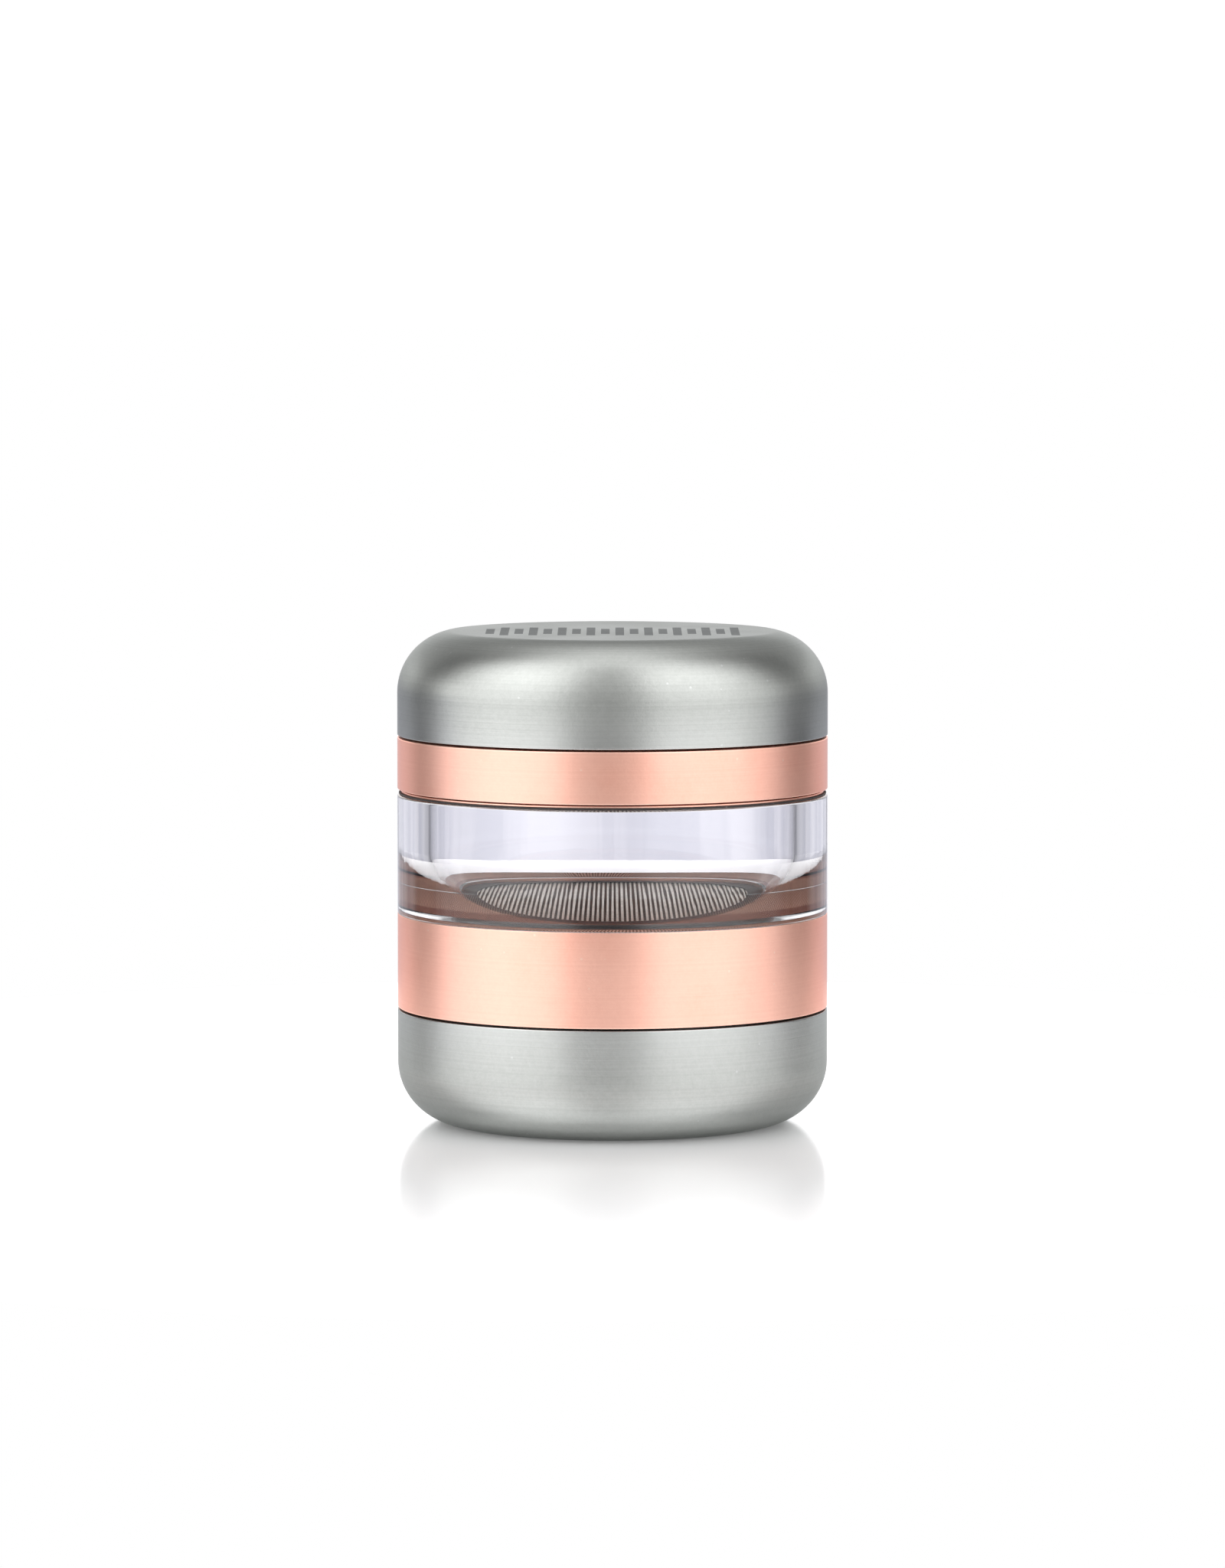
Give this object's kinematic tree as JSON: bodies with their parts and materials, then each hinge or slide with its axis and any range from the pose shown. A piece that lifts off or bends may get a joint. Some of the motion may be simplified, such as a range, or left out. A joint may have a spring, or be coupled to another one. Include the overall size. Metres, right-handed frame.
{
  "type": "herb grinder with glass storage chamber",
  "caption": "Round screw-together herb grinder: domed toothed lid, toothed plate, clear glass chamber, fine sieve and a catch cup below.",
  "frame": {"origin": "on the axis of revolution, in the flat underside that it stands on", "axes": "+Z along the axis, from the catch cup up to the lid; +X half-way between teeth of every ring"},
  "size_m": [0.063, 0.063, 0.072],
  "materials": {
    "titanium_metal": "bead-blasted and anodised titanium grey, satin, with fine turning rings",
    "rose_metal": "bead-blasted and anodised rose gold, satin",
    "stainless_steel": "plain woven wire and stamped steel",
    "nickel_plate": "nickel plated",
    "white_nylon": "natural nylon",
    "black_silicone": "matt black silicone rubber",
    "bond_line": "thin bonding film that shows the rose metal under it",
    "clear_glass": "thick clear glass with a faint lavender tint"
  },
  "bodies": {
    "cup": {"bottom_cup": "titanium_metal"},
    "chamber_seal": {"cup_gasket": "black_silicone"},
    "chamber": {"lower_collar": "rose_metal", "screen_frame": "stainless_steel", "screen_mesh": "stainless_steel", "screen_gasket": "black_silicone", "lower_glass_seal": "bond_line", "glass_chamber": "clear_glass", "upper_glass_seal": "black_silicone", "glass_neck_ring": "rose_metal"},
    "plate_seal": {"plate_gasket": "black_silicone"},
    "plate": {"tooth_plate": "rose_metal", "plate_magnet": "nickel_plate", "plate_magnet_cap": "stainless_steel"},
    "lid_ring": {"lid_friction_ring": "white_nylon"},
    "lid_body": {"lid": "titanium_metal", "lid_magnet": "nickel_plate", "lid_magnet_cap": "stainless_steel"}
  },
  "joints": [
    {"name": "chamber_lift", "type": "slide", "parent": "cup", "child": "chamber_seal", "axis": [0, 0, 1], "range_m": [0, 0.0034]},
    {"name": "chamber_turn", "type": "hinge", "parent": "chamber_seal", "child": "chamber", "pos_m": [0, 0, 0.019], "axis": [0, 0, 1], "range_deg": [0, 810]},
    {"name": "plate_lift", "type": "slide", "parent": "chamber", "child": "plate_seal", "axis": [0, 0, 1], "range_m": [0, 0.00302]},
    {"name": "plate_turn", "type": "hinge", "parent": "plate_seal", "child": "plate", "pos_m": [0, 0, 0.0505], "axis": [0, 0, 1], "range_deg": [0, 720]},
    {"name": "lid_lift", "type": "slide", "parent": "plate", "child": "lid_ring", "axis": [0, 0, 1], "range_m": [0, 0.03]},
    {"name": "lid_spin", "type": "hinge", "parent": "lid_ring", "child": "lid_body", "pos_m": [0, 0, 0.0595], "axis": [0, 0, 1], "continuous": true}
  ],
  "couplings": [
    {"joint": "chamber_lift", "follows": "chamber_turn", "m_per_rad": 0.00023873},
    {"joint": "plate_lift", "follows": "plate_turn", "m_per_rad": 0.00023873}
  ]
}
